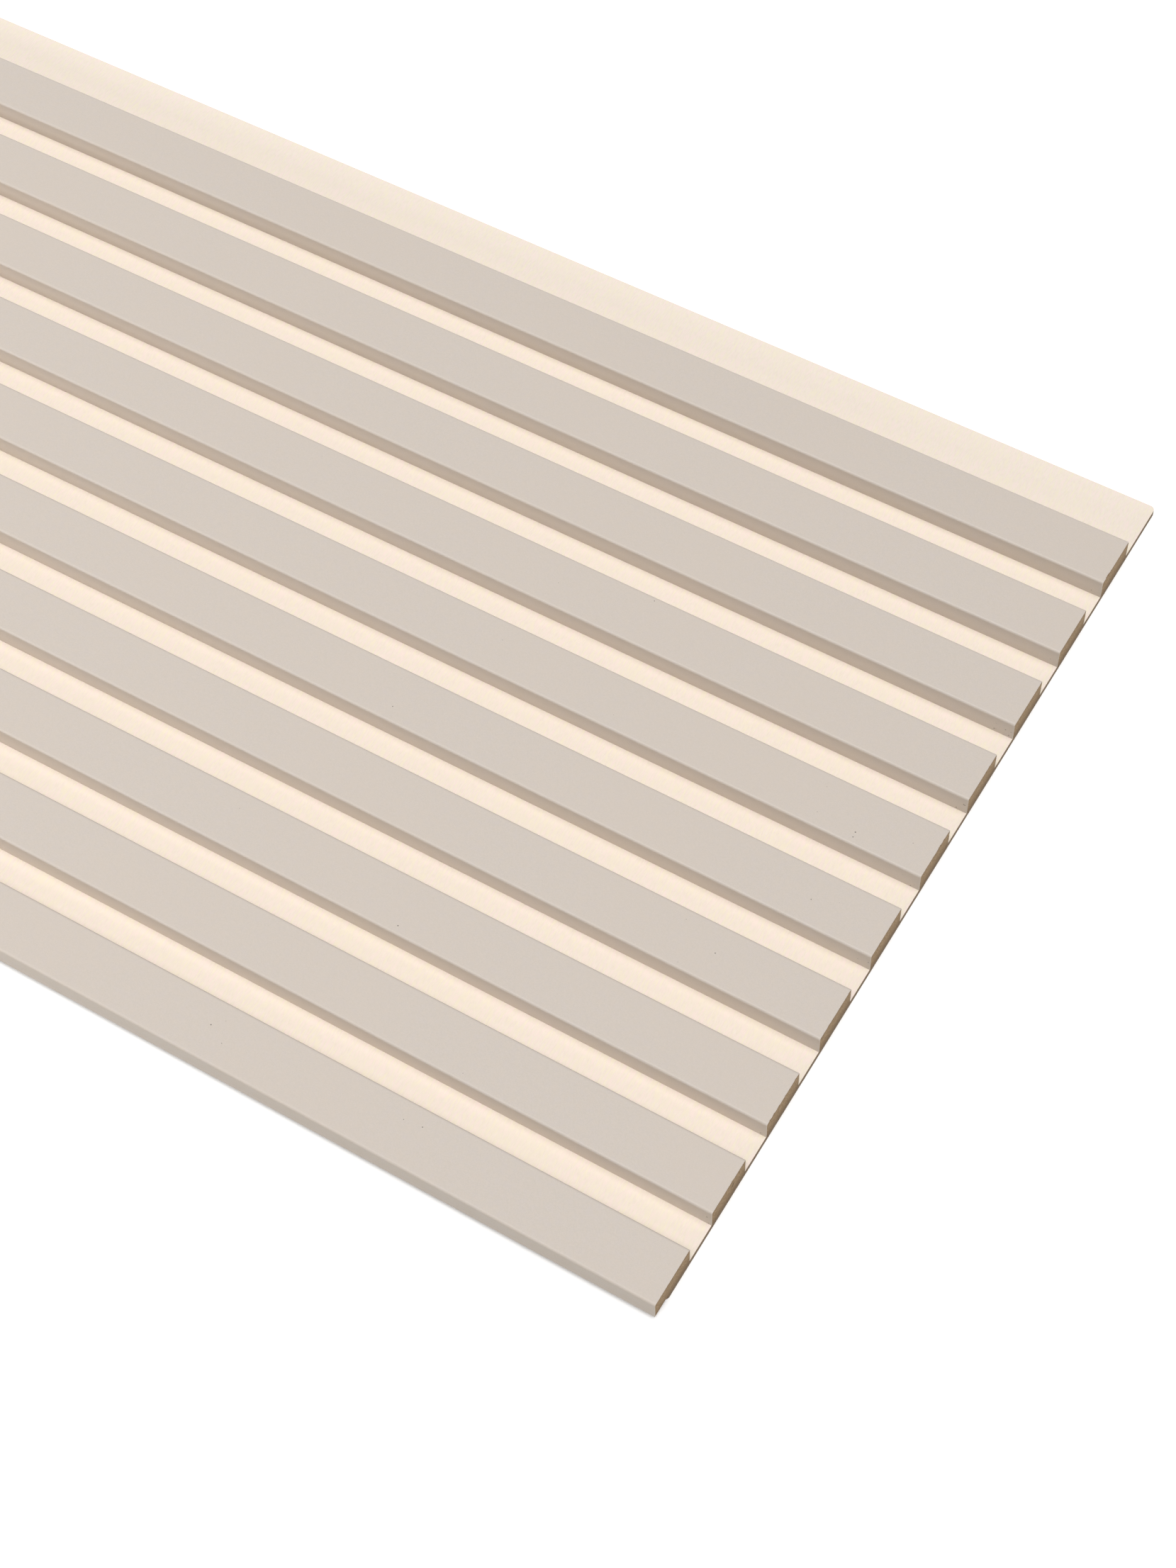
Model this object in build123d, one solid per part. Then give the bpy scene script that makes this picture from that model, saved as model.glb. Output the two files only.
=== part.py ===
from build123d import *
import os

# Slatted wall panel: foil-wrapped MDF slats glued side by side on a thin faced board.
# The panel lies on its back. X runs along the slats and Y runs across them, from the
# slat that overhangs the board to the bare strip that the next panel laps over.
# Z is up, from the underside of the board. Sizes are in millimetres.

# Length that the panel is sold in
panel_length = 2750.0

# MDF strip inside each slat, with both top edges rounded
slat_count = 10
core_width = 23.4
core_height = 9.0
core_edge_radius = 0.7

# Foil wrapped over the top and both sides of a strip, down to the board
foil_thickness = 0.3

# Open space between two wrapped slats
slat_gap = 15.0

# Fibreboard behind the slats, and the light sheet bonded to its face
board_thickness = 2.6
facing_thickness = 0.4
board_corner_radius = 2.0

# How far the first slat stands out past the edge of the board
lap_overhang = 8.0

# Bare strip of faced board beyond the last slat
lap_strip = 28.0

# Places worked out from the sizes above
slat_width = core_width + 2 * foil_thickness
slat_pitch = slat_width + slat_gap
slats_span = slat_count * slat_pitch - slat_gap
panel_width = slats_span + lap_strip
board_width = panel_width - lap_overhang
near_side = -panel_width / 2
board_centre = near_side + lap_overhang + board_width / 2
slat_seat = board_thickness + facing_thickness


def backing_layer(thickness, level):
    """Sheet with the board's outline, its underside at the given level."""
    outline = RectangleRounded(panel_length, board_width, board_corner_radius)
    return extrude(Pos(0, board_centre, level) * outline, thickness)


def strip_section(skin):
    """Section of an MDF strip grown by a skin over its top and both sides."""
    outline = Rectangle(
        core_width + 2 * skin,
        core_height + skin,
        align=(Align.CENTER, Align.MIN),
    )
    top_corners = outline.vertices().group_by(Axis.Y)[-1]
    return fillet(top_corners, core_edge_radius + skin)


def run_along_panel(section, number):
    """Section run the length of the panel, on the seat of the slat with this number."""
    centre = near_side + slat_width / 2 + (number - 1) * slat_pitch
    cut_end = Plane.YZ.offset(-panel_length / 2)
    return extrude(cut_end * Pos(centre, slat_seat) * section, panel_length)


def save(shape, node):
    """Write one piece under its own name."""
    export_step(shape, f"parts/{node}.step")


os.makedirs("parts", exist_ok=True)

save(backing_layer(board_thickness, 0), "backing_board")
save(backing_layer(facing_thickness, board_thickness), "backing_facing")

core_section = strip_section(0)
foil_section = strip_section(foil_thickness) - core_section

for number in range(1, slat_count + 1):
    save(run_along_panel(core_section, number), f"slat_core_{number:02d}")
    save(run_along_panel(foil_section, number), f"slat_foil_{number:02d}")
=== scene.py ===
import math

import bpy
from mathutils import Matrix, Vector

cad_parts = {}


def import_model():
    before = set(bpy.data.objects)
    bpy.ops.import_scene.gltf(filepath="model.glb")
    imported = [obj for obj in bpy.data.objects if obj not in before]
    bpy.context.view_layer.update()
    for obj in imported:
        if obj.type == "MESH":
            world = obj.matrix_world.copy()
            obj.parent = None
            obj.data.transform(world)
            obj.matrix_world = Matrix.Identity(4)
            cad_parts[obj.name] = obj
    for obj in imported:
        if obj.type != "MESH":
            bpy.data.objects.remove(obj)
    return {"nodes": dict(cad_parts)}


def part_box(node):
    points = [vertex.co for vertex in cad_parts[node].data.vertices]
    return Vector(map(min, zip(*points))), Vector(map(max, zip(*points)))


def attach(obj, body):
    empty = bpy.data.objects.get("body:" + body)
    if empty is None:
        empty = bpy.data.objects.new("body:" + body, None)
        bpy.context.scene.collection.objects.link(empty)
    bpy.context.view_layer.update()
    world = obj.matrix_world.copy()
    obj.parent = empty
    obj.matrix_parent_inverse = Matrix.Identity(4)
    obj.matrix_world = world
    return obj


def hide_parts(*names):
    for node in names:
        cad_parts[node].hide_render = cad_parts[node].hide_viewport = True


# The panel as it was made: ten slats, a thin board and its facing, lying on its back.
# X runs along the slats, Y across them, and Z is up. All sizes below are in metres.
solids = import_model()["nodes"]
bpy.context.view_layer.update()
MM = 0.001


# Backing board: a thin sheet of pressed wood fibre that all the slats are glued to.
# It was sawn to length, so its brown fibres are open at the edges, while its
# back was pressed smooth and shows only faint clouds and flecks.

BOARD_LIGHT = (164, 141, 115)
BOARD_DARK = (124, 104, 82)
BOARD_SKIN = (104, 86, 68)
BOARD_BACK = (158, 134, 106)
BOARD_BACK_DARK = (136, 114, 90)
BOARD_FLECK = 0.5 * MM
BOARD_CLOUD = 45 * MM
BOARD_SKIN_DEPTH = 0.6 * MM
BOARD_BACK_LEVEL = 0.02 * MM
BOARD_RELIEF = 0.05 * MM

board_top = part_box("backing_board")[1].z


def paint(colour, alpha=1.0):
    """Linear colour for a shader from red, green and blue as seen on screen, 0 to 255."""
    linear = []
    for part in colour:
        c = part / 255
        linear.append(c / 12.92 if c <= 0.04045 else ((c + 0.055) / 1.055) ** 2.4)
    return (*linear, alpha)


class Value:
    """Output of a node, which takes part in sums as a number does."""

    def __init__(self, nodes, socket):
        self.nodes = nodes
        self.socket = socket

    def math(self, operation, *terms):
        return self.nodes.add("ShaderNodeMath", {"operation": operation}, dict(enumerate(terms)))

    def __add__(self, other):
        return self.math("ADD", self, other)

    def __sub__(self, other):
        return self.math("SUBTRACT", self, other)

    def __rsub__(self, other):
        return self.math("SUBTRACT", other, self)

    def __mul__(self, other):
        return self.math("MULTIPLY", self, other)

    def __truediv__(self, other):
        return self.math("DIVIDE", self, other)

    def __pow__(self, other):
        return self.math("POWER", self, other)

    def __gt__(self, other):
        return self.math("GREATER_THAN", self, other)

    def __lt__(self, other):
        return self.math("LESS_THAN", self, other)

    def __abs__(self):
        return self.math("ABSOLUTE", self)

    __radd__ = __add__
    __rmul__ = __mul__

    def at_least(self, other):
        return self.math("MAXIMUM", self, other)

    def at_most(self, other):
        return self.math("MINIMUM", self, other)


class Nodes:
    """Node tree that is built one node at a time."""

    def __init__(self, tree):
        self.tree = tree

    def add(self, kind, settings, inputs, output=0):
        """New node with its settings made first, then its sockets filled or linked."""
        node = self.tree.nodes.new(kind)
        for name, setting in settings.items():
            setattr(node, name, setting)
        for key, given in inputs.items():
            if isinstance(given, Value):
                self.tree.links.new(given.socket, node.inputs[key])
            else:
                node.inputs[key].default_value = given
        return Value(self, node.outputs[output])

    def split(self, vector):
        """The three parts of a vector."""
        first = self.add("ShaderNodeSeparateXYZ", {}, {0: vector})
        return [Value(self, out) for out in first.socket.node.outputs]


class Finish(Nodes):
    """Material on one principled shader, with patterns in the panel's own metres."""

    def __init__(self, name, roughness):
        self.material = bpy.data.materials.new(name)
        self.material.use_nodes = True
        super().__init__(self.material.node_tree)
        self.shader = self.tree.nodes["Principled BSDF"]
        self.shader.inputs["Roughness"].default_value = roughness
        self.place = self.add("ShaderNodeTexCoord", {}, {}, "Object")

    def looks(self):
        """How far each face looks along X, Y and Z, from -1 to 1."""
        return self.split(self.add("ShaderNodeNewGeometry", {}, {}, "Normal"))

    def stretched(self, scale, turn=0.0):
        """The panel's places, squeezed along each axis and turned in its plane."""
        return self.add(
            "ShaderNodeMapping",
            {"vector_type": "TEXTURE"},
            {"Vector": self.place, "Rotation": (0, 0, turn), "Scale": scale},
        )

    def noise(self, size, detail=2.0, vector=None):
        """Soft random pattern from 0 to 1 whose blots are about this size."""
        return self.add(
            "ShaderNodeTexNoise",
            {"noise_dimensions": "3D"},
            {"Vector": vector or self.place, "Scale": 1 / size, "Detail": detail},
        )

    def spread(self, value, low, high):
        """The value stretched so that low gives 0 and high gives 1, and kept between."""
        return self.add(
            "ShaderNodeMapRange",
            {"clamp": True},
            {"Value": value, "From Min": low, "From Max": high},
        )

    def mix(self, share, first, second):
        """Colour between two others, by share."""
        return self.add(
            "ShaderNodeMix",
            {"data_type": "RGBA"},
            {0: share, 6: first, 7: second},
            2,
        )

    def cells(self, size):
        """Distance to the middle of the nearest random cell, and that cell's own chance."""
        away = self.add(
            "ShaderNodeTexVoronoi",
            {"feature": "F1", "voronoi_dimensions": "3D"},
            {"Vector": self.place, "Scale": 1 / size, "Randomness": 1.0},
        )
        chance = self.split(Value(self, away.socket.node.outputs["Color"]))[0]
        return away, chance

    def nearest(self, places):
        """Distance to the nearest of some places, each counted in its own radius."""
        gap = None
        for place, radius in places:
            ends = {0: self.place, 1: place}
            away = self.add("ShaderNodeVectorMath", {"operation": "DISTANCE"}, ends, "Value") / radius
            gap = away if gap is None else gap.at_most(away)
        return gap

    def dull(self, roughness):
        self.tree.links.new(roughness.socket, self.shader.inputs["Roughness"])

    def colour(self, colour):
        self.tree.links.new(colour.socket, self.shader.inputs["Base Color"])

    def relief(self, height, depth):
        """Fine relief, from a height of 0 to 1 and its depth in metres."""
        bump = self.add(
            "ShaderNodeBump",
            {},
            {"Height": height, "Distance": depth, "Strength": 1.0},
        )
        self.tree.links.new(bump.socket, self.shader.inputs["Normal"])


def dress(piece, finish):
    """Give a piece one material all over."""
    piece.data.materials.clear()
    piece.data.materials.append(finish.material)


def fibreboard_finish():
    """Pressed fibre: flecked and layered where it is sawn, smooth and clouded behind."""
    finish = Finish("fibreboard", 0.85)
    flat_fibres = finish.stretched((1, 1, 0.4))
    fleck = finish.spread(finish.noise(BOARD_FLECK, 3.0, flat_fibres), 0.3, 0.7)
    cloud = finish.spread(finish.noise(BOARD_CLOUD, 3.0), 0.3, 0.7)
    height = finish.split(finish.place)[2]
    middle = board_top / 2
    skin = finish.spread(abs(height - middle), middle - BOARD_SKIN_DEPTH, middle)
    sawn = finish.mix(fleck, paint(BOARD_DARK), paint(BOARD_LIGHT))
    sawn = finish.mix(skin * 0.7, sawn, paint(BOARD_SKIN))
    pressed = finish.mix(0.6 * fleck + 0.4 * cloud, paint(BOARD_BACK), paint(BOARD_BACK_DARK))
    finish.colour(finish.mix(height < BOARD_BACK_LEVEL, sawn, pressed))
    finish.relief(fleck, BOARD_RELIEF)
    return finish


board = solids["backing_board"]
dress(board, fibreboard_finish())


# Facing: a very thin sheet with a pale wood look, bonded all over the board's front.
# It has fine short streaks across the panel and wide, very faint warm and cool clouds,
# and it shows between the slats and on the bare strip.

FACING_CREAM = (249, 237, 224)
FACING_STREAK = (242, 229, 214)
FACING_BLUSH = (250, 233, 223)
FACING_STRAW = (247, 236, 214)
FACING_EDGE = (134, 114, 92)
STREAK_SLANT = math.radians(4)
FINE_STREAK = (0.5 * MM, 2.4 * MM, 2.4 * MM)
WIDE_STREAK = (0.8 * MM, 4.5 * MM, 4.5 * MM)
FACING_WAVE = (40 * MM, 3 * MM, 3 * MM)
FACING_CLOUD = 16 * MM
FACING_RELIEF = 0.008 * MM

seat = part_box("backing_facing")[1].z


def facing_finish():
    """Pale face with short streaks across the panel, warm and cool tints and a low sheen."""
    finish = Finish("facing", 0.8)
    finish.shader.inputs["Specular IOR Level"].default_value = 0.3
    fine_run = finish.stretched(FINE_STREAK, STREAK_SLANT)
    streak = finish.spread(finish.noise(1.0, 2.0, fine_run), 0.3, 0.7)
    wide_run = finish.stretched(WIDE_STREAK, STREAK_SLANT)
    tint = finish.noise(1.0, 2.0, wide_run)
    cloud = finish.noise(FACING_CLOUD, 2.0)
    wave = finish.noise(1.0, 1.0, finish.stretched(FACING_WAVE))
    face = finish.mix(streak, paint(FACING_CREAM), paint(FACING_STREAK))
    face = finish.mix(finish.spread(tint, 0.5, 0.66), face, paint(FACING_BLUSH))
    face = finish.mix(finish.spread(tint, 0.5, 0.34), face, paint(FACING_STRAW))
    face = finish.mix(0.3 * finish.spread(cloud, 0.48, 0.7), face, paint(FACING_STRAW))
    face = finish.mix(0.2 * finish.spread(wave, 0.4, 0.8), face, paint(FACING_STREAK))
    upward = finish.looks()[2]
    finish.colour(finish.mix(upward > 0.5, paint(FACING_EDGE), face))
    finish.relief(streak, FACING_RELIEF)
    return finish


facing = solids["backing_facing"]
dress(facing, facing_finish())


# Slat cores: strips of MDF, moulded with two rounded top edges and sawn to length.
# Only their cut ends show, as open brown fibre that is finer and darker towards the
# pressed faces, with the small hollows that a saw leaves. Towards the foot the darkening
# is partly denser fibre and partly painted shade.

MDF_LIGHT = (214, 186, 151)
MDF_DARK = (146, 119, 87)
MDF_FACE_AND_SHADE = (134, 108, 82)
MDF_FLECK = 0.6 * MM
MDF_GRAIN = 0.2 * MM
MDF_RELIEF = 0.04 * MM
CORE_EDGE_RADIUS = 0.7 * MM

# Darker layers: the first and last depth of one below the top, and of one above the foot.
# The one above the foot is partly denser fibre and partly painted shade.
TOP_SKIN = (0.4 * MM, 1.0 * MM)
LOW_SKIN_AND_SHADE = (0.8 * MM, 4.5 * MM)

# Hollows of the saw: how deep they are and how wide, and how high above the foot they start
SAW_HOLLOW = 0.08 * MM
SAW_MARK = 0.7 * MM
SAW_FOOT = 0.4 * MM
SAW_GRID_ACROSS = 78
SAW_GRID_UP = 34

# Small pits strewn over the ends, and one large pit, their dark colour painted shade in the
# hollows. For the large pit: its slat, its millimetres from the near side and above the foot,
# its half sizes in millimetres, and its tilt
SAW_PIT_SHADE = (52, 40, 28)
SMALL_PITS = 3.0 * MM
PIT_PLACE = (2, 15.0, 5.0)
PIT_SIZE = (0.3, 1.6, 0.8)
PIT_TILT = 0.6

slat_names = sorted(name for name in solids if name.startswith("slat_core_"))
foil_names = sorted(name for name in solids if name.startswith("slat_foil_"))
core_low, core_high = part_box(slat_names[0])
foil_low, foil_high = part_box(foil_names[0])
slat_count = len(slat_names)
slat_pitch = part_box(slat_names[1])[0].y - core_low.y
core_width = core_high.y - core_low.y
core_height = core_high.z - core_low.z
panel_length = core_high.x - core_low.x
first_slat = (core_low.y + core_high.y) / 2


def on_slat(slat, from_end, across, height):
    """Place on a slat: millimetres from its cut end, from its near side and above its foot."""
    near_side = foil_low.y + (slat - 1) * slat_pitch
    return (panel_length / 2 - from_end * MM, near_side + across * MM, seat + height * MM)


def mdf_finish():
    """Sawn MDF: fine flecks, darker near its pressed faces with painted shade towards the foot, and a few
    pits painted dark as shade.
    """
    finish = Finish("mdf", 0.9)
    fleck = finish.spread(finish.noise(MDF_FLECK, 3.0, finish.stretched((1, 0.9, 1.1))), 0.3, 0.72)
    grain = finish.noise(MDF_GRAIN, 2.0)
    height = finish.split(finish.place)[2]
    top = seat + core_height
    top_skin = finish.spread(height, top - TOP_SKIN[1], top - TOP_SKIN[0])
    # Darker towards the foot: partly denser fibre, partly painted shade.
    low_skin_and_shade = 1 - finish.spread(height, seat + LOW_SKIN_AND_SHADE[0], seat + LOW_SKIN_AND_SHADE[1])
    fibre = finish.mix(0.75 * fleck + 0.25 * grain, paint(MDF_DARK), paint(MDF_LIGHT))
    fibre = finish.mix(0.75 * top_skin, fibre, paint(MDF_FACE_AND_SHADE))
    fibre = finish.mix(0.52 * low_skin_and_shade, fibre, paint(MDF_FACE_AND_SHADE))
    away, chance = finish.cells(SMALL_PITS)
    small = (1 - finish.spread(away, 0.04, 0.12)) * (chance > 0.7)
    slat, across, up = PIT_PLACE
    hole = finish.add(
        "ShaderNodeMapping",
        {"vector_type": "TEXTURE"},
        {
            "Vector": finish.place,
            "Location": on_slat(slat, 0.0, across, up),
            "Rotation": (PIT_TILT, 0, 0),
            "Scale": [size * MM for size in PIT_SIZE],
        },
    )
    from_hole = finish.add("ShaderNodeVectorMath", {"operation": "LENGTH"}, {0: hole}, "Value")
    pit = small.at_least(1 - finish.spread(from_hole + grain, 0.9, 1.5))
    # The pits' dark colour is painted shade in their hollows.
    finish.colour(finish.mix(0.8 * pit, fibre, paint(SAW_PIT_SHADE)))
    finish.relief(fleck + 0.4 * grain - 3.0 * pit, MDF_RELIEF)
    return finish


def put_in_scene(name, data):
    """New object with this name and data."""
    thing = bpy.data.objects.new(name, data)
    bpy.context.scene.collection.objects.link(thing)
    return thing


class Shape(Nodes):
    """Geometry Nodes tree with named inputs, run on an object and left as a plain mesh."""

    def __init__(self, name, sizes):
        tree = bpy.data.node_groups.new(name, "GeometryNodeTree")
        super().__init__(tree)
        tree.interface.new_socket("Geometry", in_out="OUTPUT", socket_type="NodeSocketGeometry")
        tree.interface.new_socket("Geometry", in_out="INPUT", socket_type="NodeSocketGeometry")
        kinds = {float: "NodeSocketFloat", int: "NodeSocketInt"}
        for key, size in sizes.items():
            tree.interface.new_socket(key, in_out="INPUT", socket_type=kinds[type(size)])
        self.sizes = sizes
        self.given = tree.nodes.new("NodeGroupInput")
        self.result = tree.nodes.new("NodeGroupOutput")

    def input(self, key):
        return Value(self, self.given.outputs[key])

    def vector(self, x, y, z):
        return self.add("ShaderNodeCombineXYZ", {}, {0: x, 1: y, 2: z})

    def places(self):
        """X, Y and Z of every point."""
        return self.split(self.add("GeometryNodeInputPosition", {}, {}))

    def noise(self, size, detail, seed):
        """Soft random pattern from 0 to 1 whose blots are about this size."""
        return self.add(
            "ShaderNodeTexNoise",
            {"noise_dimensions": "4D"},
            {"Scale": 1 / size, "Detail": detail, "W": seed},
        )

    def join(self, *parts):
        node = self.tree.nodes.new("GeometryNodeJoinGeometry")
        for part in reversed(parts):
            self.tree.links.new(part.socket, node.inputs[0])
        return Value(self, node.outputs[0])

    def run(self, section, length):
        """Closed bar whose two ends are this flat section, facing along X."""
        start = self.add(
            "GeometryNodeTransform",
            {},
            {"Geometry": section, "Translation": self.vector(length * -0.5, 0.0, 0.0)},
        )
        swept = self.add(
            "GeometryNodeExtrudeMesh",
            {"mode": "FACES"},
            {
                "Mesh": start,
                "Offset": self.vector(length, 0.0, 0.0),
                "Offset Scale": 1.0,
                "Individual": False,
            },
        )
        back = self.add("GeometryNodeFlipFaces", {}, {"Mesh": start})
        both = self.join(swept, back)
        return self.add("GeometryNodeMergeByDistance", {}, {"Geometry": both, "Distance": 0.001 * MM})

    def row(self, bar, count, pitch, first, level):
        """Copies of one bar side by side, as real meshes."""
        seats = self.add(
            "GeometryNodeMeshLine",
            {"mode": "OFFSET"},
            {
                "Count": count,
                "Start Location": self.vector(0.0, first, level),
                "Offset": self.vector(0.0, pitch, 0.0),
            },
        )
        copies = self.add("GeometryNodeInstanceOnPoints", {}, {"Points": seats, "Instance": bar})
        return self.add("GeometryNodeRealizeInstances", {}, {"Geometry": copies})

    def sink_ends(self, solid, length, depth):
        """Push the places on both cut ends inwards by their own depth."""
        x = self.places()[0]
        at_end = abs(x) > length * 0.5 - 0.01 * MM
        inward = x.math("SIGN", x) * depth * -1
        return self.add(
            "GeometryNodeSetPosition",
            {},
            {"Geometry": solid, "Selection": at_end, "Offset": self.vector(inward, 0.0, 0.0)},
        )

    def make(self, name, base, last, finish):
        """Piece with this name, from a base mesh, with the tree's result in its own mesh."""
        painted = self.add("GeometryNodeSetMaterial", {}, {"Geometry": last, "Material": finish.material})
        self.tree.links.new(painted.socket, self.result.inputs[0])
        piece = put_in_scene(name, base)
        modifier = piece.modifiers.new(name, "NODES")
        modifier.node_group = self.tree
        sockets = {s.name: s.identifier for s in self.tree.interface.items_tree if s.in_out == "INPUT"}
        for key, size in self.sizes.items():
            modifier[sockets[key]] = size
        bpy.context.view_layer.update()
        evaluated = piece.evaluated_get(bpy.context.evaluated_depsgraph_get())
        mesh = bpy.data.meshes.new_from_object(evaluated)
        piece.modifiers.clear()
        piece.data = mesh
        mesh.name = name
        mesh.shade_smooth()
        mesh.set_sharp_from_angle(angle=math.radians(30))
        return piece


def make_slat_cores():
    """All ten MDF strips, with saw-marked ends."""
    shape = Shape(
        "mdf_strips",
        {
            "Count": slat_count,
            "Pitch": slat_pitch,
            "First strip": first_slat,
            "Seat": seat,
            "Length": panel_length,
            "Width": core_width,
            "Height": core_height,
            "Edge radius": CORE_EDGE_RADIUS,
            "Saw hollow": SAW_HOLLOW,
            "Seed": 3.0,
        },
    )
    width = shape.input("Width")
    height = shape.input("Height")
    radius = shape.input("Edge radius")
    grid = shape.add(
        "GeometryNodeMeshGrid",
        {},
        {
            "Size X": width,
            "Size Y": height,
            "Vertices X": SAW_GRID_ACROSS + 1,
            "Vertices Y": SAW_GRID_UP + 1,
        },
    )
    across, up, _ = shape.places()
    up = up + height * 0.5
    above = (up - (height - radius)).at_least(0.0)
    half_width = width * 0.5 - radius + (radius * radius - above * above).at_least(0.0) ** 0.5
    section = shape.add(
        "GeometryNodeSetPosition",
        {},
        {"Geometry": grid, "Position": shape.vector(0.0, across * half_width / (width * 0.5), up)},
    )
    strips = shape.row(
        shape.run(section, shape.input("Length")),
        shape.input("Count"),
        shape.input("Pitch"),
        shape.input("First strip"),
        shape.input("Seat"),
    )
    level = shape.places()[2] - shape.input("Seat")
    inside = (level / SAW_FOOT).at_most(1.0)
    hollow = shape.noise(SAW_MARK, 2.0, shape.input("Seed")) * inside * shape.input("Saw hollow")
    sawn = shape.sink_ends(strips, shape.input("Length"), hollow)
    return shape.make("slat_cores", bpy.data.meshes.new("mdf_strip_base"), sawn, mdf_finish())


cores = make_slat_cores()
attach(cores, "root")
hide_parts(*slat_names)


# Slat foils: a smooth plastic skin wrapped hot over the top and both sides of each strip.
# It is greige with a low sheen and a very fine tooth, has a few specks of dust under it,
# and shows its paler body as a thin line where the saw cut it.

FOIL_LIGHT = (211, 200, 190)
FOIL_DEEP = (205, 195, 184)
FOIL_WARM = (211, 198, 185)
FOIL_COOL = (207, 197, 192)
FOIL_BODY = (226, 214, 195)
FOIL_SPECK = (46, 40, 34)
FOIL_NICK = (104, 92, 76)
FOIL_TOOTH = 0.5 * MM
FOIL_MOTTLE = 2.6 * MM
FOIL_CLOUD = 70 * MM

# Relief of the skin, and how far the other marks go into or out of it for one of its tooth
FOIL_RELIEF = 0.006 * MM
SPECK_SINKS = 2.0
NICK_SINKS = 12.0
SLACK_RISES = 16.0
SLACK_RUN = (5 * MM, 1.5 * MM, 1.5 * MM)

# Torn cut edge: how deep a tear goes, how long it is, and where in the pattern it starts
FOIL_TEAR = 0.25 * MM
TEAR_RUN = 1.8 * MM
TEAR_START = 0.56
TEAR_RISE = 5.0

# Steps of the mesh along the flat faces and round a corner
FOIL_STEP = 0.3 * MM
ARC_STEPS = 10

# Dust under the foil: number of the slat, then millimetres from its cut end, from its near
# side, and across the speck. A few fainter ones are strewn, at most one in a cell.
STRAY_SPECKS = 14 * MM
SPECKS = (
    (6, 29.9, 5.4, 0.55),
    (6, 29.7, 3.1, 0.45),
    (6, 9.2, 11.8, 0.3),
    (6, 46.4, 6.3, 0.25),
    (6, 189.9, 15.2, 0.25),
    (5, 30.3, 10.6, 0.4),
    (5, 209.9, 6.5, 0.4),
    (4, 49.5, 12.3, 0.45),
    (4, 65.6, 19.4, 0.25),
    (3, 155.3, 3.5, 0.5),
    (3, 234.5, 16.7, 0.25),
    (2, 102.6, 3.1, 0.25),
    (1, 103.6, 17.1, 0.45),
    (1, 110.9, 16.3, 0.3),
    (1, 191.0, 13.4, 0.5),
    (1, 183.4, 9.1, 0.3),
    (7, 148.1, 22.0, 0.4),
    (7, 185.4, 11.0, 0.25),
)

# Nicks in the near sides: number of the slat, then millimetres from its cut end, above its
# foot, and across the nick. More are strewn near both cut ends, below a height off the floor.
STRAY_NICKS = 2.0 * MM
NICKS_REACH = 9 * MM
NICKS_TOP = 8.6 * MM
NICK_RAGGED = 0.35 * MM
NICKS = (
    (2, 1.9, 4.9, 0.8),
    (3, 2.3, 1.3, 0.7),
    (3, 6.8, 2.3, 0.4),
    (5, 0.9, 4.8, 0.6),
    (6, 3.6, 0.7, 0.6),
    (6, 2.2, 2.0, 0.4),
    (7, 1.6, 4.9, 0.8),
    (7, 4.4, 1.0, 0.8),
    (8, 1.8, 1.3, 0.7),
    (8, 8.0, 1.6, 0.8),
    (10, 4.2, 2.1, 0.6),
)

foil_thickness = core_low.y - foil_low.y


def dust(finish):
    """1 where a speck of dust lies under the foil."""
    top = (foil_high.z - seat) / MM
    placed = []
    for slat, from_end, across, size in SPECKS:
        placed.append((on_slat(slat, from_end, across, top), size / 2 * MM))
    away, chance = finish.cells(STRAY_SPECKS)
    stray = (1 - finish.spread(away, 0.006, 0.014)) * (chance > 0.6)
    return (1 - finish.spread(finish.nearest(placed), 0.7, 1.2)).at_least(0.5 * stray)


def nicks_and_chips(finish, from_cut, height):
    """1 where the foil is dented near a cut end, and 1 where its pale body shows there."""
    hollows = []
    lips = []
    for slat, from_end, above, size in NICKS:
        hollows.append((on_slat(slat, from_end, 0.0, above), 0.5 * size * MM))
        lip_place = on_slat(slat, from_end + 0.7 * size, 0.0, above + 0.2 * size)
        lips.append((lip_place, 0.4 * size * MM))
    ragged = 2.0 * finish.noise(NICK_RAGGED, 2.0)
    hollow = 1 - finish.spread(finish.nearest(hollows) + ragged, 1.5, 2.0)
    lip = 1 - finish.spread(finish.nearest(lips) + ragged, 1.5, 2.0)
    away, chance = finish.cells(STRAY_NICKS)
    spot = 1 - finish.spread(away, 0.08, 0.2)
    at_end = (1 - finish.spread(from_cut, 0.3 * NICKS_REACH, NICKS_REACH)) * (height < NICKS_TOP)
    nick = (spot * at_end * (chance > 0.8)).at_least(hollow)
    chip = (spot * at_end * (chance < 0.1)).at_least(lip)
    return nick, chip


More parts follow.
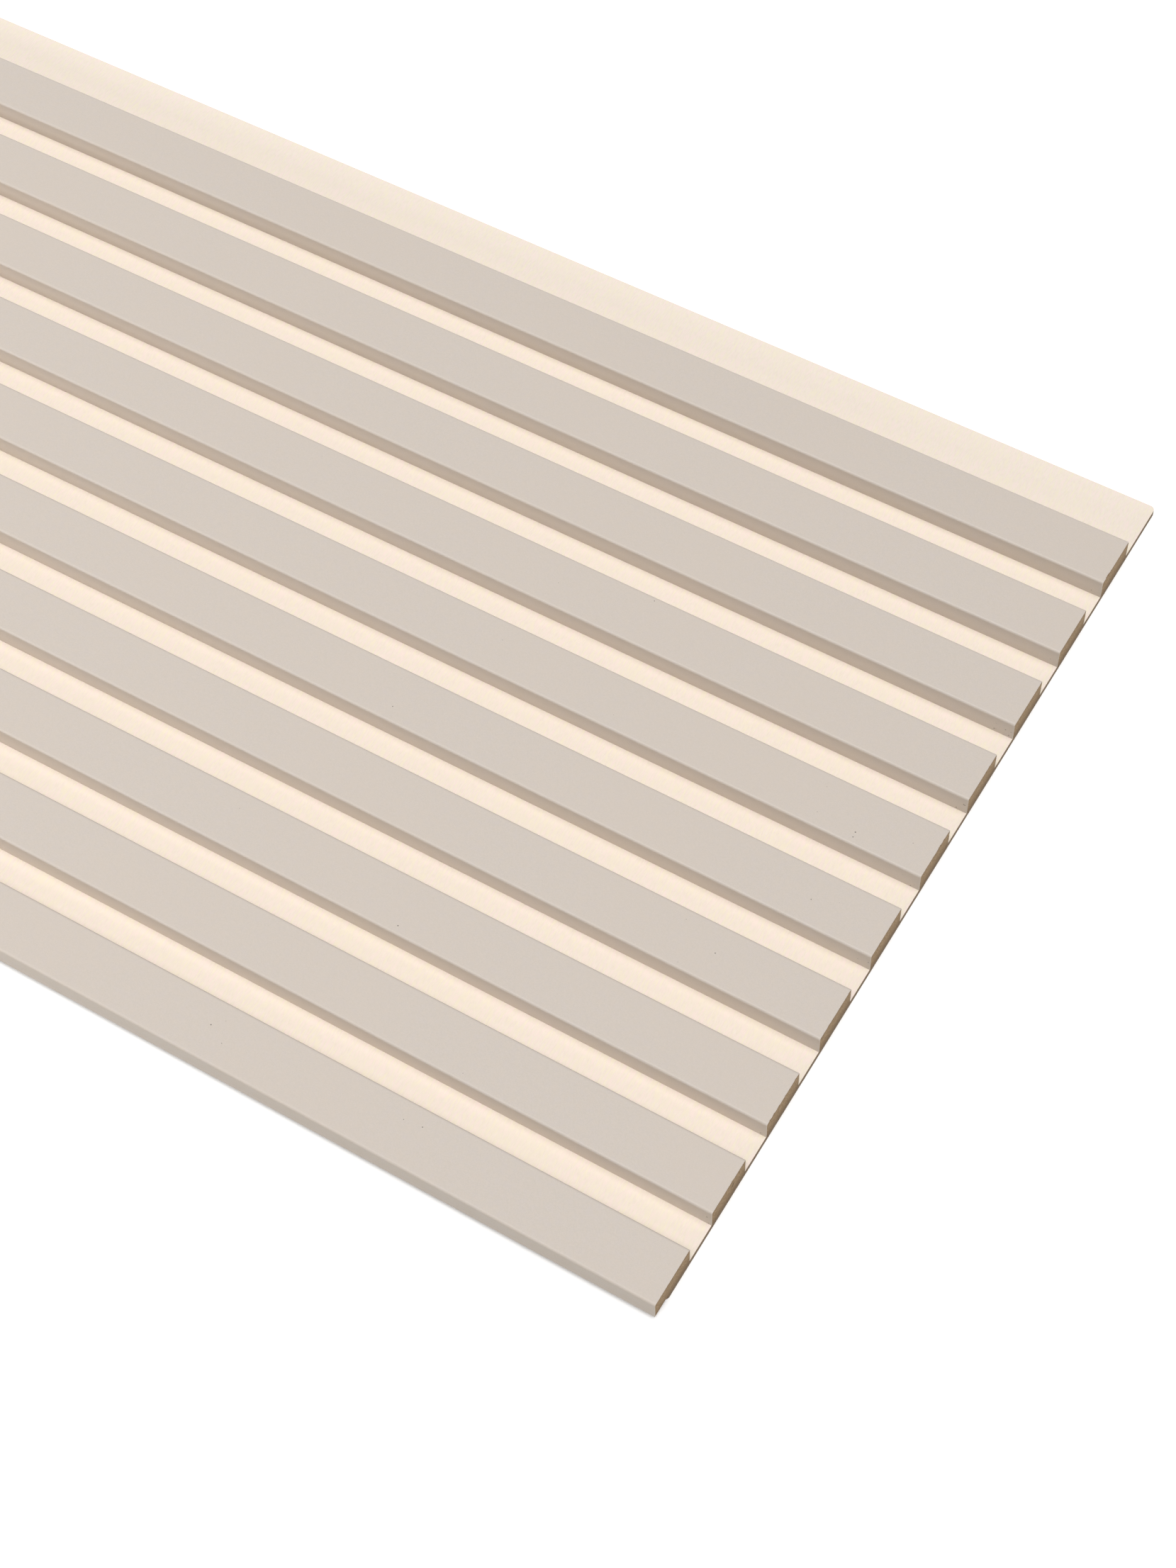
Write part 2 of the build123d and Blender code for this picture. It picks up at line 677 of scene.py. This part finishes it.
def foil_finish():
    """Low-sheen greige skin with faint clouds, specks, nicked ends and a pale sawn edge."""
    finish = Finish("foil", 0.45)
    tooth = finish.noise(FOIL_TOOTH, 2.0)
    mottle = finish.noise(FOIL_MOTTLE, 3.0)
    cloud = finish.noise(FOIL_CLOUD, 2.0)
    skin = finish.mix(finish.spread(tooth, 0.3, 0.7), paint(FOIL_LIGHT), paint(FOIL_DEEP))
    skin = finish.mix(0.5 * finish.spread(mottle, 0.5, 0.8), skin, paint(FOIL_WARM))
    skin = finish.mix(0.5 * finish.spread(mottle, 0.5, 0.2), skin, paint(FOIL_COOL))
    skin = finish.mix(0.3 * finish.spread(cloud, 0.4, 0.7), skin, paint(FOIL_WARM))
    speck = dust(finish)
    skin = finish.mix(0.85 * speck, skin, paint(FOIL_SPECK))
    along, _, height = finish.split(finish.place)
    from_cut = panel_length / 2 - abs(along)
    nick, chip = nicks_and_chips(finish, from_cut, height)
    skin = finish.mix(0.7 * nick, skin, paint(FOIL_NICK))
    skin = finish.mix(0.6 * chip, skin, paint(FOIL_BODY))
    ahead, aside, upward = finish.looks()
    cut = (from_cut < FOIL_TEAR + 0.01 * MM) * (abs(ahead) > 0.5)
    finish.colour(finish.mix(cut, skin, paint(FOIL_BODY)))
    finish.dull(0.4 + 0.12 * mottle)
    corner = 2.0 * abs(aside * upward)
    slack = corner * finish.noise(1.0, 2.0, finish.stretched(SLACK_RUN))
    marks = SLACK_RISES * slack - SPECK_SINKS * speck - NICK_SINKS * nick
    finish.relief(tooth + marks, FOIL_RELIEF)
    return finish


def wrap_path(width, height, radius):
    """Points up one side of a strip, over its top and down the other, as (across, up)."""
    half = []
    straight = max(2, round((height - radius) / FOIL_STEP))
    for step in range(straight):
        half.append((width / 2, (height - radius) * step / straight))
    for step in range(ARC_STEPS):
        turn = math.pi / 2 * step / ARC_STEPS
        across = width / 2 - radius + radius * math.cos(turn)
        half.append((across, height - radius + radius * math.sin(turn)))
    top = round((width / 2 - radius) / FOIL_STEP)
    for step in range(top):
        half.append(((width / 2 - radius) * (1 - step / top), height))
    mirrored = [(-across, up) for across, up in reversed(half)]
    return half + [(0.0, height)] + mirrored


def foil_section():
    """Flat mesh of the foil's section, facing along X."""
    outer = wrap_path(
        core_width + 2 * foil_thickness,
        core_height + foil_thickness,
        CORE_EDGE_RADIUS + foil_thickness,
    )
    inner = wrap_path(core_width, core_height, CORE_EDGE_RADIUS)
    points = [(0.0, *place) for place in outer + inner]
    count = len(outer)
    faces = [(i, i + 1, count + i + 1, count + i) for i in range(count - 1)]
    mesh = bpy.data.meshes.new("foil_section")
    mesh.from_pydata(points, [], faces)
    return mesh


def make_slat_foils():
    """All ten skins, a little torn where they were sawn."""
    shape = Shape(
        "foil_wraps",
        {
            "Count": slat_count,
            "Pitch": slat_pitch,
            "First slat": first_slat,
            "Seat": seat,
            "Length": panel_length,
            "Height": core_height,
            "Tear": FOIL_TEAR,
            "Seed": 8.0,
        },
    )
    wraps = shape.row(
        shape.run(shape.input("Geometry"), shape.input("Length")),
        shape.input("Count"),
        shape.input("Pitch"),
        shape.input("First slat"),
        shape.input("Seat"),
    )
    pattern = shape.noise(TEAR_RUN, 5.0, shape.input("Seed"))
    torn = ((pattern - TEAR_START).at_least(0.0) * TEAR_RISE).at_most(1.0)
    level = shape.places()[2] - shape.input("Seat")
    near_top = (level / shape.input("Height")).at_most(1.0) ** 3
    depth = torn * near_top * shape.input("Tear")
    sawn = shape.sink_ends(wraps, shape.input("Length"), depth)
    return shape.make("slat_foils", foil_section(), sawn, foil_finish())


foils = make_slat_foils()
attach(foils, "root")
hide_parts(*foil_names)


# Studio: a plain pale floor that shows white to the camera but keeps the panel's shadow,
# one broad soft light overhead, and a long soft box in front that ends half a metre short
# of the cut end, so that the sides of the slats grow darker towards it.

FLOOR_REACH = 12.0
FLOOR_PALE = (0.6, 0.56, 0.49, 1.0)
FLOOR_SEEN = 1.15
FLOOR_GLOW = 0.15
SKY = 0.19
KEY = 2.36
KEY_SPREAD = math.radians(50)
KEY_FROM = Vector((0.14, -0.13, 1.0))
FRONT_POWER = 8.8
FRONT_LENGTH = 2.4
FRONT_HEIGHT = 0.2
FRONT_TINT = (1.0, 0.985, 0.96)
FRONT_PLACE = Vector((-0.35, -1.0, 0.42))
FRONT_AIM = Vector((-0.6, 0.0, 0.0))


def shown_rays(tree):
    """1 for the rays that show the studio to the camera, straight or by gloss or glass."""
    ray = tree.add("ShaderNodeLightPath", {}, {}, "Is Camera Ray")
    glossy = Value(tree, ray.socket.node.outputs["Is Glossy Ray"])
    passing = Value(tree, ray.socket.node.outputs["Is Transmission Ray"])
    return ray.at_least(glossy).at_least(passing)


def floor_material():
    """Pale floor for the light, and to the camera white with the panel's shadow on it."""
    material = bpy.data.materials.new("studio_floor")
    material.use_nodes = True
    tree = Nodes(material.node_tree)
    material.node_tree.nodes.remove(material.node_tree.nodes["Principled BSDF"])
    plain = tree.add("ShaderNodeBsdfDiffuse", {}, {"Color": FLOOR_PALE})
    bright = tree.add("ShaderNodeBsdfDiffuse", {}, {"Color": (FLOOR_SEEN,) * 3 + (1,)})
    glow = tree.add("ShaderNodeEmission", {}, {"Color": (1, 1, 1, 1), "Strength": FLOOR_GLOW})
    shown = tree.add("ShaderNodeAddShader", {}, {0: bright, 1: glow})
    both = tree.add("ShaderNodeMixShader", {}, {0: shown_rays(tree), 1: plain, 2: shown})
    tree.tree.links.new(both.socket, material.node_tree.nodes["Material Output"].inputs["Surface"])
    return material


world = bpy.data.worlds.new("studio_sky")
bpy.context.scene.world = world
world.use_nodes = True
background = world.node_tree.nodes["Background"]
background.inputs["Color"].default_value = (1, 1, 1, 1)
sky = Nodes(world.node_tree)
sky.tree.links.new((SKY + (1 - SKY) * shown_rays(sky)).socket, background.inputs["Strength"])

corners = [(-1, -1), (1, -1), (1, 1), (-1, 1)]
floor_mesh = bpy.data.meshes.new("floor")
floor_mesh.from_pydata([(FLOOR_REACH * x, FLOOR_REACH * y, 0) for x, y in corners], [], [(0, 1, 2, 3)])
floor_mesh.materials.append(floor_material())
floor = put_in_scene("floor", floor_mesh)

key = bpy.data.lights.new("overhead_key", "SUN")
key.energy = KEY
key.angle = KEY_SPREAD
key_lamp = put_in_scene("overhead_key", key)
key_lamp.rotation_euler = (-KEY_FROM).to_track_quat("-Z", "Y").to_euler()

front = bpy.data.lights.new("front_softbox", "AREA")
front.shape = "RECTANGLE"
front.size = FRONT_LENGTH
front.size_y = FRONT_HEIGHT
front.energy = FRONT_POWER
front.color = FRONT_TINT
front_lamp = put_in_scene("front_softbox", front)
front_lamp.location = FRONT_PLACE
front_lamp.rotation_euler = (FRONT_AIM - FRONT_PLACE).to_track_quat("-Z", "Y").to_euler()


# Camera: above the panel's near end, looking down along and across it as in the photograph,
# worked out from the straight edges of the slats. The photograph is 2212 pixels tall, and
# the lens's length is counted in those pixels.

PHOTO_TALL = 2212
FOCUS = 4112.8
CAMERA_PLACE = Vector((1.57262, -0.53966, 0.92767))
CAMERA_VIEW = Vector((-0.29607622, 0.46308653, -0.83539795))
CAMERA_RIGHT = Vector((0.85929378, 0.51104033, -0.02125999))

camera_data = bpy.data.cameras.new("camera")
camera_data.sensor_width = 36.0
camera_data.lens = camera_data.sensor_width * FOCUS / PHOTO_TALL
camera_data.clip_start = 0.01
back = -CAMERA_VIEW.normalized()
right = (CAMERA_RIGHT - CAMERA_RIGHT.dot(back) * back).normalized()
up = back.cross(right)
turned = Matrix((right, up, back)).transposed().to_4x4()
camera = put_in_scene("camera", camera_data)
camera.matrix_world = Matrix.Translation(CAMERA_PLACE) @ turned
bpy.context.scene.camera = camera
bpy.context.scene.view_settings.view_transform = "Standard"
